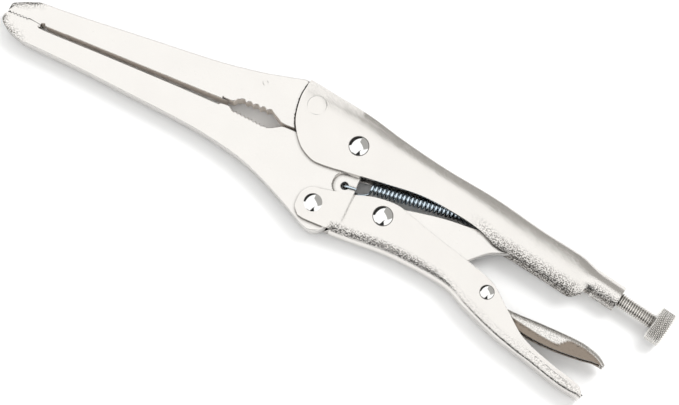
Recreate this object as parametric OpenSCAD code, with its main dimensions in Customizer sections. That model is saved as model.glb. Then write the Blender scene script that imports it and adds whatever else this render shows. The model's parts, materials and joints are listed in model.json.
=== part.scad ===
// Long-nose locking pliers: two forged jaws, two folded sheet handles, a toggle link,
// a release lever, a return spring and a knurled adjusting screw.
// Millimetres. +X runs along the closed jaws towards the knob, +Y towards the handle
// that carries the screw, +Z along the rivets. The origin is under the middle.

/* [Jaws] */
// Reach from the jaw pivot to the tip of the lower jaw
jaw_reach = 197.2; // [196:0.1:198]
// Height of the meeting line of the jaws, from the jaw pivot
jaw_line = -2.7; // [-2.9:0.1:-2.5]
// Thickness of both jaws
jaw_t = 9.5; // [9:0.1:9.6]
// Height of one tooth at the tips
tip_tooth_h = 0.9; // [0.5:0.1:1]
// Number of teeth at the tips
tip_teeth = 7; // [5:1:8]
// Number of small teeth in the pipe grip of the lower jaw
grip_teeth = 8; // [6:1:9]
// Number of scallops in the pipe grip of the upper jaw
grip_scallops = 5; // [4:1:6]

/* [Handles] */
// Width over both sides of the folded handles
handle_w = 14.7; // [14.5:0.1:15]
// Thickness of the handle sheet
sheet_t = 2.5; // [2.3:0.1:2.5]
// Outer radius of the fold along the lower handle
grip_fold_r = 6; // [5:0.5:7]
// Width over both sides of the release lever
lever_w = 9.2; // [8.6:0.1:9.4]
// Thickness of the release lever's sheet
lever_t = 2; // [1.6:0.1:2.2]

/* [Pivots] */
// Shank radius of the jaw pivot and the jaw link rivets
pivot_r = 4; // [3.5:0.1:4.2]
// Shank radius of the toggle rivet
toggle_pin_r = 3; // [2.8:0.1:3.2]
// Shank radius of the release lever's rivet
release_pin_r = 2.2; // [2:0.1:2.4]
// Radius of the large rivet heads
head_r = 5.3; // [5:0.1:5.6]
// Height of the rivet heads above the handles
head_h = 2; // [1.5:0.1:2.2]
// Radial clearance of the running fits
fit = 0.05; // [0.03:0.01:0.08]

/* [Toggle link] */
// Thickness of the toggle link
link_t = 6.5; // [5.5:0.1:6.8]
// Radius of the heel that bears on the screw
heel_r = 3.6; // [3.2:0.1:3.8]
// Radius of the eye round the toggle rivet
eye_r = 8; // [7:0.1:8.5]

/* [Adjusting screw] */
// Outer radius of the screw thread
screw_r = 4; // [3.9:0.05:4.1]
// Downward slope of the screw axis, degrees
screw_slope = 12.2; // [12:0.1:12.4]
// Outer radius of the threaded tube of the upper handle
tube_r = 6.85; // [6.5:0.05:7]
// Radius of the knob
knob_r = 9.2; // [8.6:0.1:9.3]
// Length of the knob
knob_len = 8.5; // [7:0.5:10]
// Free length of screw between the tube and the knob
screw_free = 20.2; // [19:0.1:22]

/* [Return spring] */
// Outer radius of the coil
coil_r = 3.4; // [3:0.1:3.5]
// Radius of the spring wire
wire_r = 0.65; // [0.5:0.05:0.7]

/* [Hidden] */
$fn = 48;

// Pivot centres, measured from the jaw pivot
jaw_pivot = [0, 0];
jaw_link_pin = [-10.2, -36.2];
toggle_pin = [25.1, -29.1];
release_pin = [88, -45.2];
flush_rivet = [-28, 11.7];

// Screw axis: a point at the mouth of the tube, and the direction towards the knob
mouth = [150.6, -21.7];
screw_dir = [cos(screw_slope), -sin(screw_slope)];
// Heel centre: where the line through both handle pins meets the screw axis
pin_line = toggle_pin - jaw_link_pin;
heel_along = cross(mouth - jaw_link_pin, screw_dir) / cross(pin_line, screw_dir);
heel = jaw_link_pin + heel_along * pin_line;

// Half widths across the thickness
half_w = handle_w / 2;
inner_w = half_w - sheet_t;
// How far the folded sheet ends inside the threaded tube's surface
tube_lap = 0.4;
// Sheet thickness there, which leaves the screw's bore clear
lap_t = 1.8;
// Play left between a heel or web and what lies under it
gap = 0.1;
// Depth by which each face of the fixed jaw's tang is set back inside the handle
tang_relief = 0.25;

// Where the closed tool's box has its middle, in the frame of the jaw pivot
tail_low = -77.4;
front_high = 24.1;
knob_end = mouth + (screw_free + knob_len) * screw_dir;
knob_far = knob_end.x + knob_r * sin(screw_slope);
box_mid = [(knob_far - jaw_reach) / 2, (front_high + tail_low) / 2];

// Play of the toggle rivet in the link's eye over the whole opening
eye_play = [2.25, -0.5];
eye_slack = 0.4;

// Points on a circular arc
function arc(c, r, from, to, n = 8) =
    [for (i = [0 : n]) let (a = from + (to - from) * i / n) c + r * [cos(a), sin(a)]];

// Smooth curve through the points of a list (Catmull-Rom)
function smooth(p, n = 4) = concat(
    [for (i = [0 : len(p) - 2], k = [0 : n - 1])
        let (a = p[max(i - 1, 0)], b = p[i], c = p[i + 1], d = p[min(i + 2, len(p) - 1)],
            t = k / n)
        0.5 * (2 * b + (c - a) * t + (2 * a - 5 * b + 4 * c - d) * t ^ 2
            + (3 * b - a - 3 * c + d) * t ^ 3)],
    [p[len(p) - 1]]);

// Zigzag of n teeth from p to q, with points h to the left of the line
function teeth(p, q, n, h) =
    let (u = (q - p) / norm(q - p), v = [-u.y, u.x])
    [for (i = [0 : n - 1], k = [0, 1]) p + (q - p) * (i + k / 2) / n + v * h * k];

// Row of n hollows from p to q, each an arc h deep
function scallops(p, q, n, h) =
    let (u = (q - p) / norm(q - p), v = [-u.y, u.x])
    [for (i = [0 : n - 1], k = [0 : 4])
        p + (q - p) * (i + 0.06 + 0.88 * k / 4) / n + v * h * sin(180 * k / 4)];

function reversed(p) = [for (i = [len(p) - 1 : -1 : 0]) p[i]];

// Outer top line of the upper handle, from the nose to the threaded tube
TOP = smooth([[-40, 24.6], [-36, 24.1], [-20, 21.1], [0, 17.5], [20, 12.2], [45, 6.7],
    [75, 2], [100, -3.7], [120, -7.5], [129, -9.3], [135, -11.9], [142, -13.4]]);
// Front edge of the upper handle's sides, from the nose to the lower edge
FRONT = smooth([[-36.2, 23.4], [-36.8, 19], [-37.3, 12], [-35, 0], [-28, -10.5],
    [-20, -15.4], [-14, -16]], 5);
// Lower edge of the upper handle's sides, ending at the rolled lips
LIP = smooth([[-40, -16], [-14, -16], [0, -14.8], [20, -13], [40, -11.7], [60, -14], [73, -17],
    [83, -21.3], [92, -22.7], [110, -26], [133, -30.6], [142, -32]]);
// Outer bottom line of the lower handle
KEEL = concat([[-20, -56], [0, -56]], smooth([[2.5, -47], [12, -46.8], [34, -46],
    [58, -48.2], [70, -51], [80, -56], [100, -64.2], [120, -69.9], [137, -75], [152, tail_low]]));
// Upper edge of the lower handle's sides
RIM = smooth([[-8, -27.9], [-4, -27], [8, -24.3], [18, -21.6], [30, -21], [40, -24], [60, -30.3],
    [80, -36], [90, -40.2], [100, -48.7], [113, -59.5], [130, -66.2], [143, -69.8],
    [148.3, -72.3], [150.4, -76]]);
// Top line of the release lever
BACK = smooth([[67, -40.4], [74, -40], [82, -41], [90, -43.6], [96, -46.8], [103, -48.2],
    [120, -48.5], [138, -49.2], [147, -50.8], [153, -53.4], [157, -58]]);

module place() {
    translate([-box_mid.x, -box_mid.y, half_w + head_h])
        children();
}

module plate(t) {
    translate([0, 0, -t / 2])
        linear_extrude(t)
            children();
}

// Straight round bar between two points
module bar(p, q, r) {
    d = q - p;
    translate(p)
        rotate([0, acos(d.z / norm(d)), atan2(d.y, d.x)])
            cylinder(r = r, h = norm(d));
}

// Hole or shank along Z through everything
module pin(c, r, h = 40) {
    translate([c.x, c.y, -h / 2])
        cylinder(r = r, h = h);
}

// Half of a folded sheet's section as [z, y] points: web, rounded fold, side, rolled lip.
// apex is the web's outer height, tip the height of the lip, d the depth into the sheet.
function half_fold(apex, tip, w, r, lip_r, roll, d) = concat(
    [[0, apex - d]],
    arc([w - r, apex - r], r - d, 90, 0, 5),
    roll > 0 ? arc([w - lip_r, tip + lip_r * sin(roll)], lip_r - d, 0, -roll, 4) : [[w - d, tip]]);

// Whole section at one station x; flip = -1 puts the web at the bottom
function fold_ring(x, apex, tip, w, r, lip_r, roll, t, flip) =
    let (outer = half_fold(flip * apex, flip * tip, w, r, lip_r, roll, 0),
        inner = half_fold(flip * apex, flip * tip, w, r, lip_r, roll, t),
        left = [for (i = [len(outer) - 1 : -1 : 1]) [-outer[i].x, outer[i].y]],
        back = [for (i = [1 : len(inner) - 1]) [-inner[i].x, inner[i].y]])
    [for (p = concat(left, outer, reversed(inner), back)) [x, flip * p.y, p.x]];

// Closed skin through rings of equal length. The first half of each ring runs along the
// outside of the sheet and the second half runs back along the inside.
module skin(rings, flip = 1) {
    n = len(rings[0]);
    m = len(rings);
    sides = [for (i = [0 : m - 2], j = [0 : n - 1])
        let (a = i * n + j, b = i * n + (j + 1) % n) each [[a, b, b + n], [a, b + n, a + n]]];
    caps = [for (j = [0 : n / 2 - 2], end = [0, (m - 1) * n])
        let (a = end + j, b = a + 1, c = end + n - 2 - j, d = c + 1)
        each end > 0 ? [[a, b, c], [a, c, d]] : [[c, b, a], [d, c, a]]];
    faces = concat(sides, caps);
    polyhedron([for (r = rings) each r],
        flip < 0 ? faces : [for (f = faces) reversed(f)], convexity = 6);
}

// Domed rivet head standing on the handle's side at height z
module head(c, r, h) {
    dome_r = (r * r + h * h) / (2 * h);
    top = asin(r * 0.93 / dome_r);
    translate([c.x, c.y, 0])
        rotate_extrude()
            polygon(concat([[0, 0], [r, 0], [r, h * 0.25]],
                [for (i = [5 : -1 : 0]) dome_r * [sin(top * i / 5), cos(top * i / 5)]
                    + [0, h - dome_r]]));
}

// Rivet through both sides of a handle, with a domed head on each
module rivet(c, shank_r, r, h) {
    pin(c, shank_r, handle_w);
    for (side = [0, 1])
        mirror([0, 0, side])
            translate([0, 0, half_w])
                head(c, r, h);
}

module upper_handle() {
    edge = [for (p = LIP) if (p.x > -13 && p.x < 86) p];
    side = concat([[-35, front_high]], FRONT, edge,
        [[92, -34], [133.2, -34], [133.2, -24], [136, -24], [137.2, -19], [143, -19], [143, 0],
            [60, 20], [0, 26]]);
    // The fold opens out towards the tube, and the sides start to roll in past the hinge
    stations = concat([for (x = [-38 : 8 : 66]) x], [for (x = [70 : 4 : 138]) x], [140]);
    rings = [for (x = stations)
        let (s = min(max((x - 60) / 26, 0), 1), u = min(max((x - 70) / 68, 0), 1),
            v = min(max((x - 129) / 6, 0), 1))
        fold_ring(x, lookup(x, TOP), lookup(x, LIP) - 12 * (1 - s),
            half_w - (half_w - tube_r + tube_lap) * v, 3.5 + 2.7 * u, 6.5, 45,
            sheet_t - (sheet_t - lap_t) * v, 1)];
    color([0.87, 0.86, 0.84])
        place()
            difference() {
                union() {
                    intersection() {
                        skin(rings);
                        plate(2 * handle_w)
                            polygon(side);
                    }
                    bar([each mouth - 14.5 * screw_dir, 0], [each mouth, 0], tube_r);
                    spring_prong();
                }
                bar([each mouth - 15 * screw_dir, 0], [each mouth + 5 * screw_dir, 0],
                    screw_r + fit);
                pin(jaw_pivot, pivot_r);
                pin(flush_rivet, 5.1);
            }
}

// Small tongue under the web that holds the rear hook of the spring
prong = [84, -7.4];
module spring_prong() {
    plate(2.4)
        difference() {
            union() {
                translate(prong)
                    circle(r = 2.6);
                translate(prong + [-2.6, 0])
                    square([5.2, 7]);
            }
            translate(prong)
                circle(r = 1.3);
        }
}

module upper_jaw() {
    y = jaw_line + 0.05;
    nose = smooth([[-195.8, y], [-196, 0.5], [-195.4, 2.9], [-192.2, 4.6], [-188, 6.5],
        [-182.2, 8.4]], 3);
    back = smooth([[-182.2, 8.4], [-160, 9.4], [-130, 11.5], [-100, 13.5], [-80, 15.1],
        [-60, 18.1], [-46, 21.2], [-39, 22.9]]);
    tips = teeth([-195.8, y], [-183.2, y], tip_teeth, tip_tooth_h);
    notch = [[-177.2, y], [-177.2, -1.3], [-175.4, -0.1], [-174.5, -2.4]];
    step = [[-80, -3], [-75.2, -2.9], [-74.7, -1.8], [-73.2, -2.2], [-68.7, -2.1], [-67.2, -0.3]];
    grip = scallops([-66.2, 0], [-47.2, 0.3], grip_scallops, 1);
    throat = smooth([[-46.4, -0.3], [-43.6, -1.8], [-40.7, -3.3], [-33, -3.3]]);
    lug_gap = arc(jaw_pivot, 12.4, 195.5, 96);
    tang = [[-1, lookup(0, TOP) - sheet_t - gap], [-20, lookup(-20, TOP) - sheet_t - gap],
        [-36.4, lookup(-36.4, TOP) - sheet_t - gap], [-36.4, 22.4], [-37.4, 22.8]];
    color([0.86, 0.85, 0.83])
        place()
            difference() {
                plate(jaw_t)
                    polygon(concat(tips, notch, step, grip, throat, lug_gap, tang,
                        reversed(back), reversed(nose)));
                pin(flush_rivet, 3.5);
                // The tang is a little thinner where the handle's sides cover it
                for (face = [0, 1])
                    mirror([0, 0, face])
                        translate([0, 0, jaw_t / 2 - tang_relief])
                            linear_extrude(1)
                                polygon(concat([for (p = FRONT) p - [0.5, 0]],
                                    [[0, -16], [0, 26], [-36.7, 26]]));
                // Punched dot on the near side
                translate([-57.2, 13.5, jaw_t / 2 - 0.4])
                    cylinder(r = 1.2, h = 1);
            }
}

module upper_jaw_rivet() {
    color([0.84, 0.83, 0.81])
        place() {
            pin(flush_rivet, 3.5, jaw_t);
            for (side = [-1, 1])
                translate([0, 0, side * (half_w + jaw_t / 2) / 2])
                    pin(flush_rivet, 5.1, half_w - jaw_t / 2);
        }
}

module jaw_pivot_rivet() {
    color([0.8, 0.8, 0.8])
        place()
            rivet(jaw_pivot, pivot_r, head_r, head_h);
}

module lower_jaw() {
    y = jaw_line - 0.05;
    tab = [0.8, -20.8];
    nose = smooth([[-196, y], [-197.1, -4], [-jaw_reach, -6.9], [-195.2, -9.4], [-190.2, -12.1],
        [-182.2, -14.4]], 3);
    belly = smooth([[-182.2, -14.4], [-150, -16.4], [-120, -19.1], [-90, -21.9], [-70, -24.9],
        [-50, -29.9], [-30, -38.5], [-12, -48]]);
    heel_curve = smooth([[-12, -48], [-8, -49.4], [-3.2, -48.2], [0.6, -43.7], [2, -37],
        [3.4, -30], [7.1, -27.5]], 3);
    tips = teeth([-195.8, y], [-183.2, y], tip_teeth, tip_tooth_h);
    notch = [[-177.2, y], [-177.2, -3.7], [-174.2, -4.7], [-140, -5], [-100, -5.6], [-77, -6.2],
        [-76.2, -6], [-73.2, -5.2], [-69.6, -5.1], [-67.2, -6.8]];
    grip = teeth([-66.4, -7.2], [-48.4, -8.9], grip_teeth, 0.9);
    throat = smooth([[-47.6, -8.4], [-45, -7.2], [-42.2, -5.6], [-40, -4.6], [-33, -4.5],
        [-14, -4.5]]);
    lug = arc(jaw_pivot, 11.6, 200, -40, 16);
    color([0.86, 0.85, 0.83])
        place()
            difference() {
                plate(jaw_t)
                    polygon(concat(tips, notch, grip, throat, lug, [[7.1, -13]],
                        reversed(heel_curve), reversed(belly), reversed(nose)));
                pin(jaw_pivot, pivot_r + fit);
                pin(jaw_link_pin, pivot_r + fit);
                pin(tab, 1.9);
                // The spring tab is half as thick as the jaw
                for (side = [0, 1])
                    mirror([0, 0, side])
                        translate([0, 0, 2.2]) {
                            translate(tab)
                                cylinder(r = 6.2, h = 6);
                            translate(tab + [0, -6.2])
                                cube([12, 12.4, 6]);
                        }
            }
}

module lower_handle() {
    edge = [for (p = RIM) if (p.x > -5) p];
    ear = concat(arc(jaw_link_pin, 8.1, 84, 180), smooth([[-18.3, -36.2], [-18.1, -41],
        [-15.2, -44.8], [-9, -45.6], [2, -45.6]], 3));
    side = concat(reversed(edge), ear, [[2, -80], [152, -80], [150.4, tail_low]]);
    stations = concat([-19, -9, 0], [for (x = [2.5 : 7.5 : 62.5]) x], [for (x = [66 : 3.4 : 151]) x]);
    rings = [for (x = stations)
        fold_ring(x, lookup(x, KEEL), lookup(x, RIM) + 6, half_w, grip_fold_r, 0, 0,
            sheet_t, -1)];
    color([0.87, 0.86, 0.84])
        place()
            difference() {
                intersection() {
                    skin(rings, -1);
                    plate(2 * handle_w)
                        polygon(side);
                }
                pin(jaw_link_pin, pivot_r);
                pin(toggle_pin, toggle_pin_r);
                pin(release_pin, release_pin_r);
            }
}

module jaw_link_rivet() {
    color([0.8, 0.8, 0.8])
        place()
            rivet(jaw_link_pin, pivot_r, head_r, head_h);
}

module toggle_rivet() {
    color([0.8, 0.8, 0.8])
        place()
            rivet(toggle_pin, toggle_pin_r, head_r, head_h);
}

module release_rivet() {
    color([0.8, 0.8, 0.8])
        place()
            rivet(release_pin, release_pin_r, 3.8, 1.4);
}

module toggle_link() {
    ridge = smooth([[28.5, -21.8], [34, -20.6], [52.6, -17.4], [70, -16], [88, -13.6],
        [100, -10.8]]);
    hollow = smooth([[100, -18.6], [88.6, -22.8], [81, -26], [75.6, -30.6], [71.6, -34.6],
        [67, -35.6], [50, -36.2], [34, -36.8], [28, -36.6]]);
    play_turn = atan2(eye_play.y, eye_play.x);
    slot_r = toggle_pin_r + eye_slack;
    color([0.85, 0.84, 0.82])
        place()
            difference() {
                plate(link_t)
                    polygon(concat(arc(toggle_pin, eye_r, 290, 66, 20), ridge,
                        arc(heel, heel_r, 105, -115, 20), hollow));
                // Slot that gives the toggle rivet its play
                plate(2 * link_t)
                    polygon(concat(arc(toggle_pin, slot_r, play_turn + 90, play_turn + 270, 16),
                        arc(toggle_pin + eye_play, slot_r, play_turn - 90, play_turn + 90, 16)));
            }
}

module release_lever() {
    top = [for (p = BACK) if (p.x > 70 && p.x < 156.4) p];
    under = smooth([[156.2, -57.6], [150, -56.9], [144, -57.6], [130, -58.4], [118, -57.8],
        [110, -56.4], [101, -54], [90, -51], [82, -49.4], [75, -44.6], [70.6, -42.4]]);
    rings = [for (x = [69 : 3 : 156])
        fold_ring(x, lookup(x, BACK), lookup(x, BACK) - 16, lever_w / 2, 3, 0, 0, lever_t, 1)];
    color([0.85, 0.83, 0.8])
        place()
            difference() {
                intersection() {
                    skin(rings);
                    plate(2 * handle_w)
                        polygon(concat([[70.2, -38], [156.4, -45]], under));
                }
                pin(release_pin, release_pin_r + fit);
            }
}

module return_spring() {
    coil_from = [13.8, -16.4];
    coil_to = [71, -10.8];
    tab = [0.8, -20.8];
    color([0.25, 0.28, 0.33])
        place() {
            difference() {
                bar([each coil_from, 0], [each coil_to, 0], coil_r);
                bar([each coil_from - [3, 0.3], 0], [each coil_to + [3, 0.3], 0],
                    coil_r - 2 * wire_r);
            }
            bar([each coil_from, 2.7], [each tab, 3.1], wire_r);
            bar([each tab, 3.1 + wire_r], [each tab, -3.1], wire_r);
            bar([each coil_to - [0.6, 0], 2.7], [each prong, 2.1], wire_r);
            bar([each prong, 2.1 + wire_r], [each prong, -2.1], wire_r);
        }
}

module adjusting_screw() {
    tip = heel + (heel_r + gap) * screw_dir;
    shoulder = mouth + screw_free * screw_dir;
    color([0.82, 0.81, 0.79])
        place() {
            bar([each tip, 0], [each shoulder, 0], screw_r);
            bar([each shoulder - screw_dir, 0], [each shoulder + 7 * screw_dir, 0], 3);
        }
}

module screw_knob() {
    shoulder = mouth + (screw_free + gap) * screw_dir;
    length = knob_len - gap;
    rim = 0.9;
    color([0.8, 0.79, 0.77])
        place()
            translate([each shoulder, 0])
                rotate([0, 90, -screw_slope])
                    difference() {
                        rotate_extrude()
                            polygon([[0, 0], [knob_r - rim, 0], [knob_r, rim],
                                [knob_r, length - rim], [knob_r - rim, length], [0, length]]);
                        translate([0, 0, -1])
                            cylinder(r = 3 + fit, h = 8.1);
                    }
}

upper_handle();
upper_jaw();
upper_jaw_rivet();
jaw_pivot_rivet();
lower_jaw();
lower_handle();
jaw_link_rivet();
toggle_rivet();
release_rivet();
toggle_link();
release_lever();
return_spring();
adjusting_screw();
screw_knob();
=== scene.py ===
"""Long-nose locking pliers: finished pieces, materials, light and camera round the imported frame.

Shapes are worked out in millimetres in the tool's own frame, with the jaw pivot at the origin,
+X along the closed jaws towards the knob and the middle of the tool's thickness at z = 0.
"""
import math
import json

import bmesh
import bpy
import numpy as np
from mathutils import Matrix, Vector, noise
from mathutils.geometry import delaunay_2d_cdt


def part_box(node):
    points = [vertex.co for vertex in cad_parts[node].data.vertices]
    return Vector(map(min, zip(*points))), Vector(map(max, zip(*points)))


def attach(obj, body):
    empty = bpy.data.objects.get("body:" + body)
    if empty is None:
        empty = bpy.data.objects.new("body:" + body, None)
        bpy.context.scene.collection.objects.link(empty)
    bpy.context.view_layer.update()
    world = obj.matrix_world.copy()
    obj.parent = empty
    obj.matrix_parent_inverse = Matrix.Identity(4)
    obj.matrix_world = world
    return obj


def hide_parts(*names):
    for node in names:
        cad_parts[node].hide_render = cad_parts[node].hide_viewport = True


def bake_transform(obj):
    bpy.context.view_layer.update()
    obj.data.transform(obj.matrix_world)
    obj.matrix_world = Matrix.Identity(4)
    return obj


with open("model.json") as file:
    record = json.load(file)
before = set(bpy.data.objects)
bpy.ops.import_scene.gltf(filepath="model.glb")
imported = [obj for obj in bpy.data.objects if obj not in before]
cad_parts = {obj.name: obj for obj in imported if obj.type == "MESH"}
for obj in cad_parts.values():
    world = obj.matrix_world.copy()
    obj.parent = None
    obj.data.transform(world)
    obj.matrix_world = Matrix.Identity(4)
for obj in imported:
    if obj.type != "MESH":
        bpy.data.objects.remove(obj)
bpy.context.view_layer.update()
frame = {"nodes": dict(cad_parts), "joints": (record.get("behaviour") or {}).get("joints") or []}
MM = 0.001
JOINTS = {j["name"]: j for j in frame["joints"]}
PIVOT = Vector(JOINTS["jaw_pivot"]["pos_m"])


def from_frame(point):
    """A point of the frame, in metres, as x, y and z in the tool's millimetres."""
    return (Vector(point) - PIVOT) / MM


# Driving sizes of the pieces, in millimetres. HALF_W is half the width over the handles, FLUSH
# the middle of the fixed jaw's rivet and MOUTH the middle of the threaded tube's open end.
JAW_LINK = from_frame(JOINTS["handle_pivot"]["pos_m"])
RELEASE = from_frame(JOINTS["release_pivot"]["pos_m"])
TOGGLE = Vector((25.1, -29.1, 0))
FLUSH = Vector((-28, 11.7, 0))
HALF_W = 7.35
SHEET = 2.5
SCREW_AXIS = Vector(JOINTS["screw_travel"]["axis"])
MOUTH = Vector((150.6, -21.7, 0))
TUBE_R = 6.85


# ---------------------------------------------------------------- curves

def smooth(points, per=6):
    """Catmull-Rom curve through the points, as an array."""
    p = [np.array(q, float) for q in points]
    out = []
    for i in range(len(p) - 1):
        a, b, c, d = p[max(i - 1, 0)], p[i], p[i + 1], p[min(i + 2, len(p) - 1)]
        for k in range(per):
            t = k / per
            out.append(0.5 * (2 * b + (c - a) * t + (2 * a - 5 * b + 4 * c - d) * t ** 2
                              + (3 * b - a - 3 * c + d) * t ** 3))
    out.append(p[-1])
    return np.array(out)


def height(curve, x):
    """Height of a curve over x."""
    return float(np.interp(x, curve[:, 0], curve[:, 1]))


def along(curve, t):
    """Point at the share t of a curve's length."""
    run = np.r_[0, np.cumsum(np.linalg.norm(np.diff(curve, axis=0), axis=1))]
    return np.array([np.interp(t * run[-1], run, curve[:, k]) for k in range(curve.shape[1])])


def ease(low, high, x):
    """0 before low, 1 after high and a smooth step between them."""
    t = min(max((x - low) / (high - low), 0), 1)
    return t * t * (3 - 2 * t)


def arc(centre, r, start, end, n):
    """Points on a circular arc, in degrees."""
    turn = np.radians(np.linspace(start, end, n + 1))
    return np.c_[centre[0] + r * np.cos(turn), centre[1] + r * np.sin(turn)]


# ---------------------------------------------------------------- meshes

built = []


def piece(name, vertices, faces, body, slot, replaces=()):
    """A mesh object from points in the tool's millimetres, noted in built with its body."""
    mesh = bpy.data.meshes.new(name)
    mesh.from_pydata([tuple(PIVOT + Vector(v) * MM) for v in vertices], [], faces)
    mesh.validate()
    obj = bpy.data.objects.new(name, mesh)
    bpy.context.collection.objects.link(obj)
    merged = bmesh.new()
    merged.from_mesh(mesh)
    bmesh.ops.remove_doubles(merged, verts=merged.verts, dist=1e-7)
    bmesh.ops.recalc_face_normals(merged, faces=merged.faces)
    merged.to_mesh(mesh)
    merged.free()
    built.append((obj, body, slot))
    if replaces:
        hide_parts(*replaces)
    return obj


def finish_mesh(obj, *modifiers, sharp=35):
    """Applies modifiers, given as (type, settings), and shades the mesh smooth up to an angle."""
    for kind, settings in modifiers:
        modifier = obj.modifiers.new(kind.lower(), kind)
        for key, value in settings.items():
            setattr(modifier, key, value)
    bpy.context.view_layer.update()
    if modifiers:
        graph = bpy.context.evaluated_depsgraph_get()
        mesh = bpy.data.meshes.new_from_object(obj.evaluated_get(graph))
        obj.modifiers.clear()
        obj.data = mesh
    obj.data.shade_smooth()
    obj.data.set_sharp_from_angle(angle=math.radians(sharp))
    return obj


def band_faces(first, second, n):
    """Faces between two rings of n points that start at the given places in the list."""
    return [(first + k, first + (k + 1) % n, second + (k + 1) % n, second + k)
            for k in range(n)]


def tube_faces(rings, n):
    """Faces of a tube of rings with n points each, closed at both ends."""
    faces = [f for i in range(rings - 1) for f in band_faces(i * n, (i + 1) * n, n)]
    return faces + [tuple(range(n)), tuple(range((rings - 1) * n, rings * n))]


def ring(centre, side, other, radius, n):
    """Points round a centre, from side towards other. radius is given over the share of a turn."""
    points = []
    for k in range(n):
        a = 2 * math.pi * k / n
        points.append(centre + (side * math.cos(a) + other * math.sin(a)) * radius(k / n))
    return points


def lathe(rings, segments, start, axis):
    """Vertices and faces of a body turned round an axis, from (distance along, radius) pairs."""
    axis = Vector(axis).normalized()
    side = axis.orthogonal().normalized()
    other = axis.cross(side)
    vertices = [p for run, r in rings
                for p in ring(Vector(start) + axis * run, side, other, lambda _, r=r: r, segments)]
    return vertices, tube_faces(len(rings), segments)


# ---------------------------------------------------------------- forged plates

# CRISP is the rounding of the teeth and WEAR how far they are worn back. A nose is rounded up to
# NOSE_TILT and its plating is stippled over STIPPLE_WIDTH, with dark specks that are painted
# dark reflection.
CRISP = 0.12
WEAR = 0.17
NOSE_TILT = math.radians(38)
STIPPLE_WIDTH = 3.4
# Spacing of points along the outline, along holes and in the middle of a face
OUTER_STEP, HOLE_STEP = 0.9, 0.6
GRID = 3.1


def outlines(node):
    """Outlines of a CAD node where the middle plane cuts it, longest first, as arrays."""
    cut = bmesh.new()
    cut.from_mesh(frame["nodes"][node].data)
    bmesh.ops.remove_doubles(cut, verts=cut.verts, dist=1e-6)
    found = bmesh.ops.bisect_plane(cut, geom=cut.verts[:] + cut.edges[:] + cut.faces[:],
                                   dist=1e-7, plane_co=PIVOT, plane_no=(0, 0, 1))
    near = {}
    for e in found["geom_cut"]:
        if isinstance(e, bmesh.types.BMEdge):
            for v in e.verts:
                near.setdefault(v, []).append(e.other_vert(v))
    loops = []
    while near:
        first = here = next(iter(near))
        loop = []
        while here is not None:
            loop.append(from_frame(here.co)[:2])
            ahead = [v for v in near.pop(here) if v in near]
            here = ahead[0] if ahead else None
        loops.append(np.array(loop))
    cut.free()
    return sorted(loops, key=len, reverse=True)


def refined(loop, step, corner=24):
    """The closed outline with smooth stretches turned into even steps and its corners kept."""
    ahead = np.roll(loop, -1, 0) - loop
    keep = np.linalg.norm(ahead, axis=1) > 0.02
    loop = loop[keep]
    out_dir = np.roll(loop, -1, 0) - loop
    in_dir = loop - np.roll(loop, 1, 0)
    turn = np.degrees(np.abs(np.angle(
        (out_dir[:, 0] + 1j * out_dir[:, 1]) / (in_dir[:, 0] + 1j * in_dir[:, 1]))))
    loop = loop[turn > 0.05]
    turn = turn[turn > 0.05]
    corners = list(np.nonzero(turn > corner)[0])
    if not corners:
        corners = [0]
    points = []
    for n, i in enumerate(corners):
        j = corners[(n + 1) % len(corners)]
        span = loop[i:j + 1] if j > i else np.r_[loop[i:], loop[:j + 1]]
        fine = smooth(span, 8) if len(span) > 2 else span
        count = max(1, round(np.linalg.norm(np.diff(fine, axis=0), axis=1).sum() / step))
        points += [along(fine, k / count) for k in range(count)]
    return np.array(points)


def distance(points, a, b):
    """Distance of each point from the nearest of the segments a to b."""
    best = np.full(len(points), 1e9)
    for p, q in zip(a, b):
        d = q - p
        t = np.clip(((points - p) @ d) / max(d @ d, 1e-12), 0, 1)
        best = np.minimum(best, np.linalg.norm(points - p - t[:, None] * d, axis=1))
    return best


def inside(points, loop):
    """Whether each point lies inside a closed outline."""
    hit = np.zeros(len(points), bool)
    for (x1, y1), (x2, y2) in zip(loop, np.roll(loop, -1, 0)):
        cross = (y1 > points[:, 1]) != (y2 > points[:, 1])
        if y1 != y2:
            hit ^= cross & (points[:, 0] < (x2 - x1) * (points[:, 1] - y1) / (y2 - y1) + x1)
    return hit


def inner_points(loops, a, b, reach, rings):
    """Points that a plate's face needs inside its outlines, in rows beside the edges a to b."""
    tangent = b - np.concatenate([np.roll(l, 1, 0) for l in loops])
    normal = np.c_[-tangent[:, 1], tangent[:, 0]]
    normal /= np.linalg.norm(normal, axis=1)[:, None]
    fill = []
    for d in reach:
        for way in (-1, 1):
            row = a + way * normal * d
            fill.append(row[distance(row, a, b) > 0.93 * d])
    low, high = a.min(0), a.max(0)
    grid = np.array([(x, y) for x in np.arange(low[0] + 1, high[0], GRID)
                     for y in np.arange(low[1] + 1, high[1], GRID)])
    fill = np.concatenate([*fill, grid[distance(grid, a, b) > GRID / 2 + 0.05], *rings])
    fill = fill[on_plate(fill, loops) & (distance(fill, a, b) > 0.04)]
    _, first = np.unique(np.round(fill / 0.16), axis=0, return_index=True)
    return fill[np.sort(first)]


def on_plate(points, loops):
    """Whether each point lies inside the first outline and outside the others."""
    ok = inside(points, loops[0])
    for hole in loops[1:]:
        ok &= ~inside(points, hole)
    return ok


def triangulated(loops, fill):
    """Points and triangles of a flat plate with the outlines as its edges."""
    starts = np.cumsum([0] + [len(l) for l in loops])
    edges = [(s + k, s + (k + 1) % len(l)) for s, l in zip(starts, loops) for k in range(len(l))]
    flat, _, triangles, _, _, _ = delaunay_2d_cdt(
        [Vector(p) for p in np.concatenate([*loops, fill])], edges, [], 0, 1e-5)
    flat = np.array([tuple(v) for v in flat])
    kept = on_plate(np.array([flat[list(t)].mean(0) for t in triangles]), loops)
    return flat, [tuple(t) for t, good in zip(triangles, kept) if good]


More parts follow.
